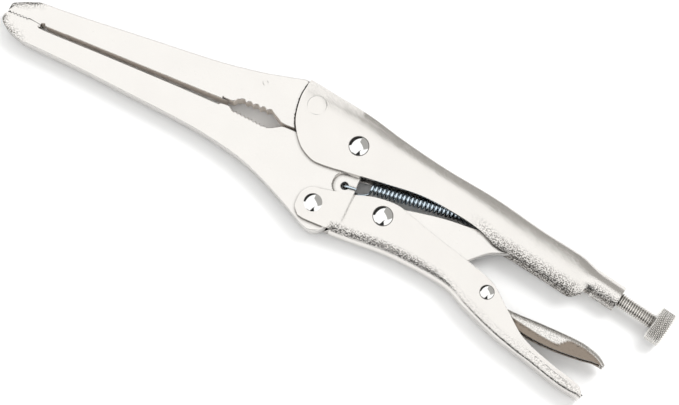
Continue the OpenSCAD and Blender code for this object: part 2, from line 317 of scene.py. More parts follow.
def plate_walls(triangles, n):
    """Wall faces between the edges of the upper face's triangles and the lower face's."""
    used = {}
    for t in triangles:
        for k in range(3):
            e = (t[k], t[(k + 1) % 3])
            used[frozenset(e)] = None if frozenset(e) in used else e
    return [(e[1], e[0], n + e[0], n + e[1]) for e in used.values() if e]


def slab(name, loops, half, body, slot, replaces=(), edge=0.6, tooth=None, nose=None,
         relief=None, rings=(), dark=None):
    """A plate with rounded edges from closed outlines, the outer one first.

    tooth is (test for outline points with a crisp edge, direction in which worn teeth recede),
    and nose is (how far a wide rounding with stippled plating applies at x and y, its width);
    the stipple has dark specks that are painted dark reflection.
    relief(x, y, side) is how much the face is lowered there, rings are extra points, and dark
    tests the middles and normals of wall faces that take the matte second finish.
    """
    loops = [refined(l, HOLE_STEP if k else OUTER_STEP) for k, l in enumerate(loops)]
    if tooth:
        loops[0][:, 1] += np.array([WEAR * (1 - ease(-184.5, -180, x)) * bool(tooth[0]((x, y)))
                                    for x, y in loops[0]]) * tooth[1]
    a = np.concatenate(loops)
    b = np.concatenate([np.roll(l, -1, 0) for l in loops])
    crisp = np.array([bool(tooth and tooth[0](p)) for p in (a + b) / 2])
    groups = [(~crisp, edge)] + ([(crisp, CRISP)] if crisp.any() else [])

    def rounding(points):
        z = np.full(len(points), float(half))
        for mask, r in groups:
            near = np.minimum(distance(points, a[mask], b[mask]), r)
            z = np.minimum(z, half - r + np.sqrt(r * r - (r - near) ** 2))
        if nose:
            apply, deep = nose
            r = deep / math.sin(NOSE_TILT)
            near = np.minimum(distance(points, a, b), deep)
            drop = np.array([apply(x, y) for x, y in points]) * (
                r - np.sqrt(r * r - (deep - near) ** 2))
            z = np.minimum(z, half - drop)
        return z

    reach = [edge * k for k in (0.12, 0.4, 0.8, 1.15)] + (
        [CRISP * k for k in (0.5, 1.2)] if crisp.any() else []) + (
        [nose[1] * k for k in (0.45, 0.75, 1.05)] if nose else [])
    flat, triangles = triangulated(loops, inner_points(loops, a, b, reach, rings))
    n = len(flat)
    vertices = []
    for side in (1, -1):
        for (x, y), level in zip(flat, rounding(flat)):
            drop = relief(x, y, side) if relief else 0
            vertices.append((x, y, side * (level - drop)))
    faces = triangles + [tuple(n + k for k in reversed(t)) for t in triangles]
    obj = piece(name, vertices, faces + plate_walls(triangles, n), body, slot, replaces)
    # Marks the stippled band by the nose, where the orange peel is deeper and has dark specks of
    # painted dark reflection.
    if nose:
        points = np.array([tuple((v.co - PIVOT) / MM)[:2] for v in obj.data.vertices])
        near = np.clip(1.15 - distance(points, a[~crisp], b[~crisp]) / STIPPLE_WIDTH, 0, 1)
        marks = obj.data.attributes.new("bend_and_shade", "FLOAT", "POINT")
        marks.data.foreach_set("value", [nose[0](x, y) * d for (x, y), d in zip(points, near)])
    if dark:
        for face in obj.data.polygons:
            if abs(face.normal.z) < 0.5 and dark((face.center - PIVOT) / MM, face.normal):
                face.material_index = 1
    return finish_mesh(obj, sharp=40)


def circle_rings(centre, radii, n):
    """Rings of points round a centre."""
    return np.concatenate([arc(centre, r, 0, 360 - 360 / n, n - 1) for r in radii])


# ---------------------------------------------------------------- jaws and link

FRONT = smooth([(-36.4, 20.4), (-36.8, 19), (-37.3, 12), (-35, 0), (-28, -10.5), (-20, -15.4),
                (-14, -16)])


def from_front(x, y):
    """Distance ahead of the upper handle's front edge, positive outside the handle."""
    d = distance(np.array([(x, y)]), FRONT[:-1], FRONT[1:])[0]
    return d if x < np.interp(-y, -FRONT[:, 1], FRONT[:, 0]) or y < FRONT[-1, 1] else -d


def offset_front(d):
    """Points at a distance ahead of the upper handle's front edge, from its top to the jaws."""
    fine = np.array([along(FRONT[FRONT[:, 1] > -8], k / 60) for k in range(61)])
    ahead = np.gradient(fine, axis=0)
    ahead /= np.linalg.norm(ahead, axis=1)[:, None]
    line = fine + np.c_[ahead[:, 1], -ahead[:, 0]] * d
    return np.r_[[line[0] - ahead[0] * k for k in (5, 4, 3, 2, 1)], line]


# The lower jaw's spring tab, the punched dent in the upper jaw, and the gap along the upper
# handle's front edge where the jaw is seated
TAB = (0.8, -20.8)
TAB_R = 6.2
TAB_HALF = 2.2
JAW_HALF = 4.75
DENT = (-57.2, 13.5)
DENT_R = 1.35
SEAT_GAP = (0.05, 0.75)
SEAT_DEPTH = 1.6
# The upper jaw's notch behind the teeth: its lower end, its span in x and how far it is squashed
NOTCH_FLOOR = -2.5
NOTCH_X = (-178, -174.7)
NOTCH_SQUASH = 0.55
NOSE_WIDTH = 2.8


def in_slot(p, normal, way):
    """Whether a wall face with that normal looks into the gap between the long jaws."""
    return -177.5 < p.x < -12 and normal.y * way > 0.4 and abs(p.y) < 14


def upper_jaw():
    """The fixed jaw, with its teeth, pipe grip, punched dent and seat in the handle."""
    def relief(x, y, side):
        d = math.hypot(x - DENT[0], y - DENT[1])
        dent = 0.16 * math.exp(-((d - DENT_R) / 0.3) ** 2) if side > 0 else 0
        seat = from_front(x, y)
        gap = ease(SEAT_GAP[0] - 0.12, SEAT_GAP[0] + 0.05, seat) * (
            1 - ease(SEAT_GAP[1] - 0.12, SEAT_GAP[1] + 0.1, seat))
        return dent + max(0.25 * (1 - ease(0, 0.1, seat)), SEAT_DEPTH * gap)

    seat = [offset_front(d) for d in (-0.5, -0.15, -0.07, 0.0, 0.1, 0.35, 0.6, 0.63, 0.74, 0.85,
                                      1.1)]
    loops = outlines("upper_jaw")
    x, y = loops[0].T
    in_notch = (x > NOTCH_X[0]) & (x < NOTCH_X[1]) & (y > NOTCH_FLOOR) & (y < 1)
    loops[0][in_notch, 1] = NOTCH_FLOOR + (y[in_notch] - NOTCH_FLOOR) * NOTCH_SQUASH
    return slab("upper_jaw_forging", loops, JAW_HALF, "upper_handle",
                "plated_forging", ["upper_jaw"], edge=0.5, relief=relief,
                tooth=(lambda p: p[0] < -162.5 and -6 < p[1] < 3.2, 1),
                nose=(lambda x, y: (1 - ease(-186, -176, x)) * ease(-2.5, 0.5, y), NOSE_WIDTH),
                rings=[circle_rings(DENT, (0.5, 0.9, 1.15, DENT_R, 1.55, 1.8, 2.2), 24)] + seat,
                dark=lambda p, normal: in_slot(p, normal, -1))


def lower_jaw():
    """The moving jaw, milled thinner round the spring's tab."""
    def relief(x, y, side):
        d = math.hypot(x - TAB[0], y - TAB[1])
        if x > TAB[0]:
            d = abs(y - TAB[1])
        return (JAW_HALF - TAB_HALF) * (1 - ease(TAB_R - 0.25, TAB_R + 0.35, d))

    steps = (-0.5, -0.25, -0.1, 0.05, 0.2, 0.35, 0.7)
    pocket = [circle_rings(TAB, [TAB_R + d for d in steps], 72)]
    for d in steps:
        for way in (-1, 1):
            pocket.append(np.array([(TAB[0] + x, TAB[1] + way * (TAB_R + d))
                                    for x in np.arange(0.3, 12, 0.5)]))
    return slab("lower_jaw_forging", outlines("lower_jaw"), JAW_HALF, "lower_jaw",
                "plated_forging", ["lower_jaw"], edge=0.6, relief=relief,
                tooth=(lambda p: p[0] < -162 and p[1] > -3.2, -1),
                nose=(lambda x, y: (1 - ease(-190, -178, x)) * (1 - ease(-5.5, -3, y)),
                      NOSE_WIDTH),
                rings=pocket, dark=lambda p, normal: in_slot(p, normal, 1))


def toggle_link():
    """The solid link between the two handles."""
    return slab("toggle_link_forging", outlines("toggle_link"), 3.25, "toggle_link",
                "plated_forging", ["toggle_link"], edge=0.7)


# ---------------------------------------------------------------- rivets

HEAD_R = 5.3
HEAD_H = 2.0
DOME_RINGS = 18
# Width of each head's rim that takes the dark inside finish: painted shade where the head meets
# the plate.
SHADED_RIM_WIDTH = 0.3


def rivet(name, node, centre, body, head_r=HEAD_R, head_h=HEAD_H, shank_r=3.8):
    """A rivet with a domed head on each side, turned in one piece, with painted shade on its rim.
    """
    dome_r = (head_r ** 2 + head_h ** 2) / (2 * head_h)
    reach = math.asin((head_r - 0.14) / dome_r)
    top = HALF_W + head_h
    edge_z = top - dome_r * (1 - math.cos(reach))
    side = [(HALF_W - 0.2, head_r - 0.1), (HALF_W + 0.02, head_r - 0.03),
            (edge_z - 0.08, head_r), (edge_z - 0.02, head_r - 0.04)]
    for k in range(DOME_RINGS):
        turn = reach * (1 - k / DOME_RINGS)
        side.append((top - dome_r * (1 - math.cos(turn)), dome_r * math.sin(turn)))
    side.append((top, 0.02))
    rings = [(-run, r) for run, r in reversed(side)] + [(-HALF_W + 0.2, shank_r),
                                                        (HALF_W - 0.2, shank_r)] + side
    vertices, faces = lathe(rings, 64, centre, (0, 0, 1))
    obj = piece(name, vertices, faces, body, "rivet", [node])
    # The rim faces take the second finish, which is painted shade.
    for face in obj.data.polygons:
        p = (face.center - PIVOT) / MM - Vector(centre)
        if math.hypot(p.x, p.y) > head_r - SHADED_RIM_WIDTH:
            face.material_index = 1
    return finish_mesh(obj, sharp=50)


def flush_rivet():
    """The rivet that holds the fixed jaw, filed flush with the handle."""
    top = HALF_W + 0.1
    side = [(4.85, 3.5), (4.85, 5.05), (top - 0.22, 5.05), (top - 0.06, 4.98), (top, 4.8),
            (top, 2.4), (top, 0.02)]
    rings = [(-run, r) for run, r in reversed(side)] + side
    vertices, faces = lathe(rings, 64, FLUSH, (0, 0, 1))
    return finish_mesh(piece("fixed_jaw_rivet", vertices, faces, "upper_handle", "plated_sheet",
                             ["upper_jaw_rivet"]), sharp=50)


# ---------------------------------------------------------------- screw and knob

# SCREW_FREE is the length of screw between the tube's mouth and the knob
PITCH = 1.25
THREAD_DEPTH = 0.72
SCREW_R = 4.0
NECK_R = 3.0
SCREW_FREE = 20.2
KNOB_R = 9.2
KNOB_LEN = 8.5
KNURLS = 42
KNURL_DEPTH = 0.6


def on_axis(s):
    """Point on the screw's axis at s from the tube's mouth, towards the knob."""
    return MOUTH + SCREW_AXIS * s


def screw_ring(s, radius, n):
    """Ring of points round the screw's axis at s, with its radius given over the turn."""
    side = Vector((0, 0, 1))
    return ring(on_axis(s), side, SCREW_AXIS.cross(side), radius, n)


def turned(radius, runs, segments):
    """Closed body round the screw's axis, with its radius given over distance and turn."""
    vertices = [p for s in runs for p in screw_ring(s, lambda turn, s=s: radius(s, turn),
                                                    segments)]
    return vertices, tube_faces(len(runs), segments)


def adjusting_screw():
    """The screw with its helical thread, from its tip in the handle to the knob's neck."""
    low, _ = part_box("adjusting_screw")
    tip = (from_frame(low).x - MOUTH.x) / SCREW_AXIS.x + 0.9
    thread_end = SCREW_FREE - 0.15

    def radius(s, turn):
        if s > thread_end:
            return NECK_R
        crest = abs((s / PITCH - turn) % 1 - 0.5) * 2
        depth = THREAD_DEPTH * (1 - min(max((crest - 0.12) / 0.72, 0), 1))
        lead = min((s - tip) / 1.2, 1)
        return (SCREW_R - depth) * (0.8 + 0.2 * lead)

    runs = list(np.arange(tip, thread_end, PITCH / 10)) + [
        thread_end + 0.01, SCREW_FREE, SCREW_FREE + 3, SCREW_FREE + 6]
    vertices, faces = turned(radius, runs, 40)
    return finish_mesh(piece("adjusting_screw_thread", vertices, faces, "adjusting_screw",
                             "screw", ["adjusting_screw"]), sharp=60)


def screw_knob():
    """The knob, with two crossed sets of grooves cut as a knurl."""
    start = SCREW_FREE + 0.1
    length = KNOB_LEN - 0.1
    rim = 0.8

    def radius(s, turn):
        at = s - start
        ends = min(at, length - at)
        r = KNOB_R - 0.28 - max(rim - ends, 0) * 0.9
        slope = at * KNURLS / (2 * math.pi * KNOB_R)
        grooves = [abs((turn * KNURLS + way * slope) % 1 - 0.5) * 2 for way in (1, -1)]
        crest = 0.3 - KNURL_DEPTH * max(max(0, g - 0.35) / 0.65 for g in grooves)
        return r + crest * ease(0.1, rim, ends) - 0.05

    runs = [start + length * k / 64 for k in range(65)]
    n = KNURLS * 8
    vertices, faces = turned(radius, runs, n)
    faces = faces[:-2]
    # Turned end faces with a shallow ring, closed at the middle
    for previous, s, way in ((0, start, -1), ((len(runs) - 1) * n, start + length, 1)):
        for r, lift in ((7.9, 0), (6.6, 0), (6.4, -0.12), (3.4, -0.12), (3.1, 0), (0.4, 0)):
            faces += band_faces(previous, len(vertices), n)
            previous = len(vertices)
            vertices += screw_ring(s + way * lift, lambda _, r=r: r, n)
        faces.append(tuple(range(previous, previous + n)))
    return finish_mesh(piece("knurled_knob", vertices, faces, "screw_knob", "screw",
                             ["screw_knob"]), sharp=55)


# ---------------------------------------------------------------- spring

COIL_FROM = Vector((13.8, -16.4, 0))
COIL_TO = Vector((71, -10.8, 0))
COIL_R = 2.75
WIRE_R = 0.65
COIL_PITCH = 2.14
COIL_STEPS = 20
PRONG = Vector((84, -7.4, 0))
# The front hook through the jaw's tab, from the coil's side, and the rear hook over the prong
FRONT_HOOK = [(6.3, 0.3, 3.0), (2, -0.1, 3.1), (0.6, -0.3, 2.7), (0.1, -0.2, 1.4), (0, 0, -1.4),
              (0.6, -0.1, -2.8), (3, -0.5, -3.0), (8, -0.8, -2.2), (11.6, 0.2, -1.0)]
REAR_HOOK = [(-4, -0.4, 2.3), (-1.0, 0, 2.2), (0, 0, 1.2), (0, 0, -2.0)]


def wire(path, r, sides=10):
    """A round wire swept along a path, with closed ends."""
    vertices = []
    normal = None
    for i, p in enumerate(path):
        ahead = (path[min(i + 1, len(path) - 1)] - path[max(i - 1, 0)]).normalized()
        normal = ahead.orthogonal() if normal is None else normal - ahead * normal.dot(ahead)
        normal.normalize()
        vertices += ring(p, normal, ahead.cross(normal), lambda _: r, sides)
    return vertices, tube_faces(len(path), sides)


def return_spring():
    """One wire: the hook through the jaw's tab, the coil and the hook over the prong."""
    axis = (COIL_TO - COIL_FROM).normalized()
    length = (COIL_TO - COIL_FROM).length
    up = Vector((-axis.y, axis.x, 0))
    out = Vector((0, 0, 1))
    steps = round(length / COIL_PITCH) * COIL_STEPS
    # The coil starts and ends at the bottom of its turn
    coil = []
    for k in range(steps + 1):
        a = -math.pi / 2 + 2 * math.pi * k / COIL_STEPS
        coil.append(COIL_FROM + axis * length * k / steps
                    + (up * math.sin(a) + out * math.cos(a)) * COIL_R)
    front = [Vector((*TAB, 0)) + Vector(p) for p in FRONT_HOOK]
    rear = [COIL_TO + axis * 1.5 - up * 1.5 + out * 2.0] + [PRONG + Vector(p) for p in REAR_HOOK]
    path = [Vector(p) for p in smooth(front + coil[:1], 8)[:-1]] + coil
    path += [Vector(p) for p in smooth([coil[-1]] + rear, 8)[1:]]
    vertices, faces = wire(path, WIRE_R)
    return finish_mesh(piece("return_spring_wire", vertices, faces, "blend", "spring",
                             ["return_spring"]), sharp=60)


# ---------------------------------------------------------------- folded sheet

# Side views of the sheet parts: the upper handle's back and edge, the lower handle's back and
# edge, and the release lever's back and edge
TOP = smooth([(-40, 24.3), (-36, 23.82), (-20, 21.0), (0, 17.5), (20, 12.2), (45, 6.7), (75, 2),
              (100, -3.7), (120, -7.5), (129, -9.3), (135, -11.6), (142, -13.1)])
LIP = smooth([(-40, -16), (-14, -16), (0, -14.8), (20, -13), (40, -11.7), (60, -14), (73, -17),
              (83, -21.3), (92, -22.7), (110, -26), (133, -30.6), (142, -32)])
KEEL = smooth([(2.5, -47), (12, -46.8), (34, -46), (58, -48.2), (70, -51), (80, -56),
               (100, -64.2), (120, -69.9), (137, -75), (152, -77.4)])
RIM = smooth([(-8, -27.9), (-4, -27), (8, -24.3), (18, -21.6), (30, -21), (40, -24), (60, -30.3),
              (80, -36), (90, -40.2), (100, -48.7), (113, -59.5), (130, -66.2), (143, -69.8),
              (148.3, -72.3), (150.4, -76)])
BACK = smooth([(67, -40.4), (74, -40), (82, -41), (90, -43.6), (96, -46.8), (103, -48.2),
               (120, -48.5), (138, -49.2), (147, -50.8), (153, -53.4), (157, -58)])
UNDER = smooth([(70.6, -42.4), (75, -44.6), (82, -49.4), (90, -51), (101, -54), (110, -56.4),
                (118, -57.8), (130, -58.4), (144, -57.6), (150, -56.9), (156.2, -57.6)])


def sheet_piece(name, rows, holes, thickness, body, slot, replaces, bend_and_shade, flank_shade=None, rim=0.5):
    """A sheet part from rows of points over its outer skin, which runs over both sides.

    holes(i, j) says which cells of the grid are left out. The next function gives how sharply the
    sheet is bent at a point, which deepens its orange peel and sets dark specks there that are
    painted dark reflection, and the last how much painted shade lies on the plating there.
    """
    n = len(rows[0])
    vertices = [p for row in rows for p in row]
    faces = [(i * n + j, i * n + j + 1, (i + 1) * n + j + 1, (i + 1) * n + j)
             for i in range(len(rows) - 1) for j in range(n - 1) if not holes(i, j)]
    obj = piece(name, vertices, faces, body, slot, replaces)
    outward = bmesh.new()
    outward.from_mesh(obj.data)
    # The flattest face far from the middle plane shows which way the skin points
    centre = PIVOT.z
    flank = max(outward.faces, key=lambda f: abs(f.calc_center_median().z - centre) - abs(
        abs(f.normal.z) - 1))
    if flank.normal.z * (flank.calc_center_median().z - centre) < 0:
        bmesh.ops.reverse_faces(outward, faces=outward.faces)
    outward.to_mesh(obj.data)
    outward.free()
    for mark, at in (("bend_and_shade", bend_and_shade), ("flank_shade", flank_shade)):
        if at:
            marks = obj.data.attributes.new(mark, "FLOAT", "POINT")
            marks.data.foreach_set("value", [at((v.co - PIVOT) / MM) for v in obj.data.vertices])
    # The solidified inner faces take the slot's second finish, which is painted shade.
    return finish_mesh(
        obj,
        ("SOLIDIFY", {"thickness": thickness * MM, "offset": -1, "use_even_offset": True,
                      "material_offset": 1}),
        ("BEVEL", {"width": rim * MM, "segments": 3, "limit_method": "ANGLE",
                   "angle_limit": math.radians(50)}),
        sharp=38)


def from_middle(j, middle):
    """How many columns the grid's column j is from the middle of the web."""
    return j - middle if j >= middle else middle - 1 - j


def mirrored(half_row):
    """A whole row from its near half, which starts at the middle of the web."""
    return [(x, y, -z) for x, y, z in reversed(half_row[1:])] + list(half_row)


# ---------------------------------------------------------------- upper handle

# Columns run from the middle of the web over the fold and down the side. The lip is rolled in
# towards the tail, NOTCH is the span of the notch before the tube and SEAM the tube's open angle.
WEB_COLUMNS = 3
CORNER_COLUMNS = 5
SHOULDER_COLUMNS = 8
SIDE_COLUMNS = 24
LIP_R = 6.5
LIP_ROLL = 45
FRONT_X = -36.3
NOTCH = (133.2, 137.2)
NOTCH_COLUMNS = 13
SEAM = 8


def upper_section(x):
    """The upper handle's skin at x: (y, z) from the middle of the web to the edge of the lip.

    A tight corner leads from the web to a shoulder, which is steep where it starts and deep
    from there to the flat side.
    """
    steep = math.radians(40 - 10 * ease(20, 60, x) - 14 * ease(60, 100, x))
    deep = 3.7 + 0.9 * ease(-20, 20, x) + 4.4 * ease(30, 95, x)
    tight = 1.5 + 1.3 * ease(60, 110, x)
    shoulder_r = deep / math.sin(steep)
    shoulder_z = HALF_W - shoulder_r * (1 - math.cos(steep))
    top = height(TOP, x)
    web = shoulder_z - tight * math.cos(steep)
    section = [(top, web * k / WEB_COLUMNS) for k in range(WEB_COLUMNS)]
    for k in range(CORNER_COLUMNS):
        a = math.pi / 2 + (steep - math.pi / 2) * k / CORNER_COLUMNS
        section.append((top - tight + tight * math.sin(a), web + tight * math.cos(a)))
    base = top - tight + tight * math.sin(steep) - deep
    for k in range(SHOULDER_COLUMNS):
        a = steep * (1 - k / SHOULDER_COLUMNS)
        section.append((base + shoulder_r * math.sin(a),
                        HALF_W - shoulder_r * (1 - math.cos(a))))
    roll = math.radians(LIP_ROLL) * ease(62, 88, x)
    end = height(LIP, x) + LIP_R * math.sin(roll)
    for k in range(SIDE_COLUMNS + 1):
        run = k / SIDE_COLUMNS * (base - end + LIP_R * roll)
        a = max(run - (base - end), 0) / LIP_R
        section.append((base - min(run, base - end) - LIP_R * math.sin(a),
                        HALF_W - LIP_R * (1 - math.cos(a))))
    return section


UPPER_COLUMNS = WEB_COLUMNS + CORNER_COLUMNS + SHOULDER_COLUMNS + SIDE_COLUMNS


def upper_handle_rows():
    """Rows from the front edge, which is slanted, to the notch, where they are upright."""
    x0, x1 = FRONT_X, NOTCH[0]
    x_front_lip = FRONT[-1][0]
    # Closer together where the front edge is bent most
    stations = [k / 100 for k in range(10)] + [0.1 + 0.9 * k / 66 for k in range(67)]
    rows = []
    first_side = WEB_COLUMNS + CORNER_COLUMNS
    for s in stations:
        x_web = x0 + s * (x1 - x0)
        x_lip = x_front_lip + s * (x1 - x_front_lip)
        keep = (1 - s) ** 3
        row = []
        for k, (y, z) in enumerate(upper_section(x_web)):
            v = max(k - first_side, 0) / (UPPER_COLUMNS - first_side)
            if not v:
                row.append((x_web, y, z))
                continue
            x = (1 - v) * x_web + v * x_lip
            x_front = (1 - v) * x0 + v * x_front_lip
            front = along(FRONT, v)
            y, z = upper_section(x)[k]
            row.append((x + keep * (front[0] - x_front),
                        y + keep * (front[1] - upper_section(x_front)[k][0]), z))
        rows.append(row)
    return rows


def tube_point(x, share):
    """Point of the threaded tube's skin in the cross-section that meets the axis at x."""
    turn = math.radians(90 - share * (180 - SEAM))
    along_axis = (x - MOUTH.x) / SCREW_AXIS.x
    across = Vector((-SCREW_AXIS.y, SCREW_AXIS.x, 0))
    return on_axis(along_axis) + across * TUBE_R * math.sin(turn) + Vector(
        (0, 0, TUBE_R * math.cos(turn)))


def upper_handle():
    """Sheet folded along its back, rolled in along its lip and closed to a tube at its end."""
    rows = upper_handle_rows()
    for x in np.linspace(NOTCH[0] + 1, NOTCH[1], 4):
        rows.append([(x, y, z) for y, z in upper_section(x)])
    notch_rows = [i for i, row in enumerate(rows) if NOTCH[0] - 0.1 <= row[0][0] < NOTCH[1] - 0.1]
    whole = []
    for row in rows:
        x = row[0][0]
        toward_tube = ease(124, NOTCH[1] + 1, x)
        if toward_tube > 0:
            runs = np.r_[0, np.cumsum([math.dist(a, b) for a, b in zip(row, row[1:])])]
            shares = runs / runs[-1]
            row = [tuple(Vector(p).lerp(tube_point(x, f), toward_tube))
                   for p, f in zip(row, shares)]
        whole.append(mirrored(row))
    for x in np.linspace(NOTCH[1] + 1.2, MOUTH.x, 9):
        whole.append(mirrored([tuple(tube_point(x, f)) for f in shares]))

    def holes(i, j):
        return i in notch_rows and from_middle(j, UPPER_COLUMNS) > UPPER_COLUMNS - NOTCH_COLUMNS

    # Where the orange peel is deeper and has dark specks of painted dark reflection: the fold
    # along the back, the lower half of the rolled lip and the lower side of the tube.
    def bend_and_shade(p):
        fold = 0.12 * ease(height(TOP, p.x) - 5, height(TOP, p.x) - 1, p.y)
        lip = height(LIP, p.x) + 4.6
        roll = ease(62, 88, p.x) * (1 - ease(lip - 3, lip + 3.5, p.y))
        off_axis = (p.y - MOUTH.y) * SCREW_AXIS.x - (p.x - MOUTH.x) * SCREW_AXIS.y
        tube = ease(134, 138, p.x) * (1 - ease(-3.5, 0.5, off_axis))
        return max(fold, roll, 0.8 * tube)

    return sheet_piece("upper_handle_shell", whole, holes, SHEET, "upper_handle",
                       "plated_sheet", ["upper_handle"], bend_and_shade)


# ---------------------------------------------------------------- lower handle

# The ear round the jaw link rivet stands EAR_RISE proud of the grip. Rows run from the ear's left
# end to the tail, and their columns from the middle of the web over the fold to the rim.
EAR_R = 8.1
EAR_RISE = 0.45
EAR_END_X = 2.5
EAR_FOOT_Y = -45.6
EAR_ROWS = 12
GRIP_FOLD = 6.0
WEB = 3
FOLD = 10
FOLD_ON_EAR = 5
SIDE = 16
# Distances below the rim at which the tail's columns are kept close together
NEAR_RIM = (6.2, 5, 4, 3.2, 2.6, 2.35, 2.1, 1.6, 0.8, 0)
# Soft crease from the release rivet towards the tail
RIDGE = smooth([(70, -50), (80, -53.5), (100, -61), (120, -68), (140, -75)])


def tail_relief(x, y):
    """How far the lower handle's flank falls below its plane, past the crease and the rim."""
    below = height(RIDGE, x) - y
    crease = 0.14 * ease(76, 90, x) * max(below, 0) * (1 - ease(115, 130, x))
    under = height(RIM, x) - y
    step = ease(2.1, 2.6, under) * 0.35 + 0.8 * ease(2.4, 7.5, under)
    return min(crease, 0.7) + step * ease(103, 118, x)


def ear_rows():
    """Rows of the flat ear, between its left, top and bottom edges."""
    left = np.concatenate([smooth([(-15.2, -44.8), (-18.1, -41), (-18.3, -36.2)], 6)[:-1],
                           arc(JAW_LINK, EAR_R, 180, 135, 6)])
    top = np.concatenate([arc(JAW_LINK, EAR_R, 135, 84, 8),
                          [p for p in RIM if -8.5 < p[0] < EAR_END_X],
                          [(EAR_END_X, height(RIM, EAR_END_X))]])
    bottom = np.array([(-15.2, -44.8), (-12, -45.5), (-9, EAR_FOOT_Y), (EAR_END_X, EAR_FOOT_Y)])
    low_left, top_left = along(left, 0), along(left, 1)
    count = SIDE + FOLD_ON_EAR
    rows = []
    for i in range(EAR_ROWS):
        t = i / EAR_ROWS
        low, up = along(bottom, t), along(top, t)
        row = []
        for k in range(count + 1):
            v = k / count
            x, y = (1 - v) * low + v * up + (1 - t) * (
                along(left, v) - (1 - v) * low_left - v * top_left)
            row.append((x, y, HALF_W + EAR_RISE))
        rows.append([(row[0][0], EAR_FOOT_Y, 0)] * (WEB + FOLD - FOLD_ON_EAR) + row)
    return rows


def grip_row(x):
    """A row of the folded grip at x."""
    keel, rim = height(KEEL, x), height(RIM, x)
    fold = min(GRIP_FOLD - 2.6 * ease(60, 88, x), max(rim - keel - 0.3, 1.0))
    side = rim - keel - fold
    row = [(x, keel, (HALF_W - fold) * k / WEB) for k in range(WEB)]
    for k in range(FOLD):
        a = math.pi / 2 * k / FOLD
        row.append((x, keel + fold - fold * math.cos(a), HALF_W - fold + fold * math.sin(a)
                    - tail_relief(x, keel + fold) * math.sin(a)))
    levels = np.linspace(keel + fold, rim, SIDE + 1)
    if side > 9:
        close = rim - np.r_[np.linspace(side, 7.4, SIDE + 1 - len(NEAR_RIM)), NEAR_RIM]
        levels = levels + (close - levels) * ease(98, 110, x)
    for y in levels:
        # The joggle between the ear and the grip runs slightly aslant
        across = x - 0.08 * (y + 39)
        joggle = EAR_RISE * (1 - ease(5.7, 7.3 + 0.06 * max(-27 - y, 0), across))
        row.append((x, y, HALF_W + joggle * ease(-43, -40, y) - tail_relief(x, y)))
    return row


def lower_handle():
    """Sheet folded along its keel, with the ear round the jaw link rivet in front."""
    stations = [EAR_END_X + 0.42 * k for k in range(27)]
    stations += [stations[-1] + (149.9 - stations[-1]) * k / 74 for k in range(1, 75)]
    rows = [mirrored(row) for row in ear_rows() + [grip_row(x) for x in stations]]

    def holes(i, j):
        return i < EAR_ROWS and from_middle(j, WEB + FOLD + SIDE) < WEB + FOLD - FOLD_ON_EAR

    # Where the orange peel is deeper and has dark specks of painted dark reflection: a band above
    # the keel, along the soft crease and just below the tail's rim.
    def bend_and_shade(p):
        keel, rim = height(KEEL, p.x), height(RIM, p.x)
        band = ease(keel + 0.9, keel + 1.5, p.y) * (1 - ease(keel + 3.6, keel + 6.5, p.y))
        ridge = 0.2 * ease(80, 90, p.x) * (1 - ease(0.4, 2.2, abs(p.y - height(RIDGE, p.x) + 1.2)))
        tail = 0.4 * ease(108, 122, p.x) * ease(6.5, 3, rim - p.y) * (p.y < rim - 2.4)
        return max(band * (1 - 0.8 * ease(30, 75, p.x)) * ease(1, 3, p.x), ridge, tail)

    return sheet_piece("lower_handle_shell", rows, holes, SHEET, "lower_handle",
                       "plated_sheet", ["lower_handle"], bend_and_shade)


# ---------------------------------------------------------------- release lever

# Lower limit of the bright part of the release lever's flank, below which the flank is painted
# with shade
FLANK_SHADE_LINE = [(70, -41.5), (104.8, -51.8), (114, -53.5), (120.4, -54.7), (127.2, -55.6),
             (130.5, -55.5), (133.9, -52.3), (136, -51.4), (143.3, -52.2), (149.2, -54.0),
             (153.2, -56.2), (157, -60)]


LEVER_HALF = 4.6
LEVER_FOLD = 3.0
LEVER_X = (70.4, 155.6)
LEVER_ROWS = 73


def release_lever():
    """Sheet folded along its back, with painted shade on the lower part of each flank."""
    line_x, line_y = zip(*FLANK_SHADE_LINE)

    def flank_shade_from(x):
        return np.interp(x, line_x, line_y)

    # How much painted shade lies on the flanks below the line.
    def flank_shade(p):
        y = flank_shade_from(p.x)
        return (1 - ease(y - 0.35, y + 0.35, p.y)) * ease(0.55, 0.8, abs(p.z) / LEVER_HALF)

    # Orange peel with dark specks of painted dark reflection all over, with more of them in the
    # painted shade on the lower flank.
    def bend_and_shade(p):
        return 0.25 + 0.6 * flank_shade(p) * (p.y > flank_shade_from(p.x) - 1.2)

    rows = []
    for x in LEVER_X[0] + (LEVER_X[1] - LEVER_X[0]) * np.arange(LEVER_ROWS) / (LEVER_ROWS - 1):
        top, low = height(BACK, x), height(UNDER, x)
        r = min(LEVER_FOLD, max(top - low - 0.2, 0.6))
        row = [(x, top, (LEVER_HALF - r) * n / 3) for n in range(3)]
        for n in range(9):
            a = math.pi / 2 * (1 - n / 9)
            row.append((x, top - r + r * math.sin(a), LEVER_HALF - r + r * math.cos(a)))
        for n in range(17):
            y = top - r + (low - top + r) * n / 16
            pressed = 0.5 * (1 - ease(flank_shade_from(x) - 1.6, flank_shade_from(x) + 0.4, y))
            row.append((x, y, LEVER_HALF - pressed))
        rows.append(mirrored(row))
    return sheet_piece("release_lever_shell", rows, lambda i, j: False, 2.0, "release_lever",
                       "plated_sheet", ["release_lever"], bend_and_shade, flank_shade, rim=0.4)


upper_jaw()
lower_jaw()
toggle_link()
rivet("jaw_pivot_head", "jaw_pivot_rivet", Vector((0, 0, 0)), "upper_handle")
rivet("jaw_link_head", "jaw_link_rivet", JAW_LINK, "lower_handle")
rivet("toggle_head", "toggle_rivet", TOGGLE, "lower_handle", shank_r=2.9)
rivet("release_head", "release_rivet", RELEASE, "lower_handle", 3.8, 1.4, 2.1)
flush_rivet()
adjusting_screw()
screw_knob()
upper_handle()
lower_handle()
release_lever()
return_spring()


# ---------------------------------------------------------------- materials

